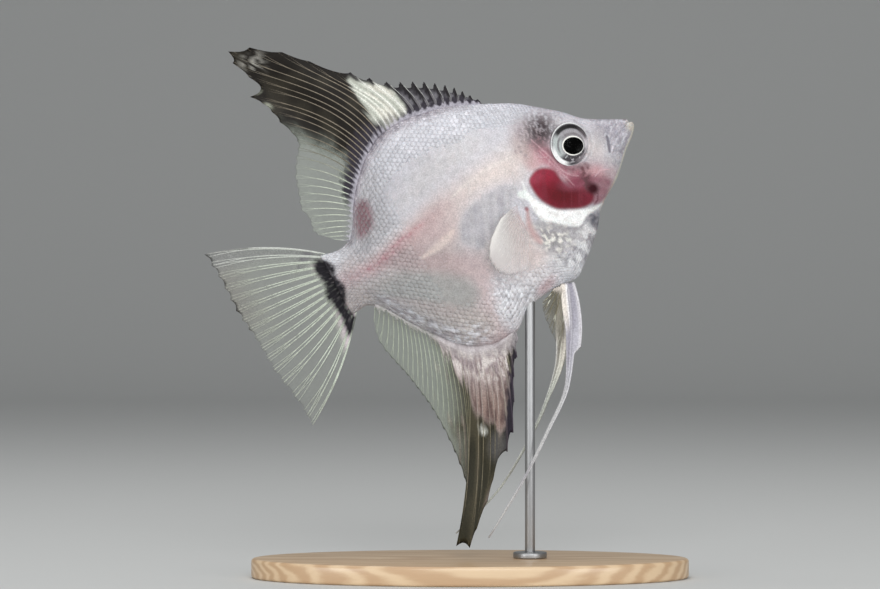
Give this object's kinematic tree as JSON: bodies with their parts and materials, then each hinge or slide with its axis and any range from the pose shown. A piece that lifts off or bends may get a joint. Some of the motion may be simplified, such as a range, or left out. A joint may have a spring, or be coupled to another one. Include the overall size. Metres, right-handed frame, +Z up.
{
  "type": "freshwater angelfish",
  "caption": "Life-size still model of a young freshwater angelfish, nose up with fins spread, held by a rod on a flat oval display base.",
  "frame": {"origin": "centre of the underside of the stand's base, on the surface it stands on", "axes": "+X the way the fish faces, +Y towards its left side, +Z up"},
  "size_m": [0.0863, 0.038, 0.094],
  "materials": {
    "skin": "wet silver-lilac skin under fine pearly scales, with a crimson gill patch and a pink band along the spine",
    "eye": "silver iris with a black pupil under a clear glossy cornea",
    "dark_fin": "brown-black membrane over fine pale rays, clear towards the rear",
    "clear_fin": "glassy clear membrane between fine pale branched rays",
    "pale_fin": "cream and silver-blue rays that run out into long threads",
    "stand_wood": "pale maple under a thin satin varnish",
    "stand_steel": "fine brushed steel"
  },
  "bodies": {
    "root": {"head": "skin", "lower_jaw": "skin", "gill_cover_left": "skin", "gill_cover_right": "skin", "trunk": "skin", "tail_stalk": "skin", "eye_left": "eye", "eye_right": "eye", "dorsal_fin": "dark_fin", "anal_fin": "dark_fin", "tail_fin": "clear_fin", "pectoral_fin_left": "clear_fin", "pectoral_fin_right": "clear_fin", "pelvic_fin_left": "pale_fin", "pelvic_fin_right": "pale_fin", "stand_base": "stand_wood", "stand_rod": "stand_steel"}
  },
  "joints": []
}
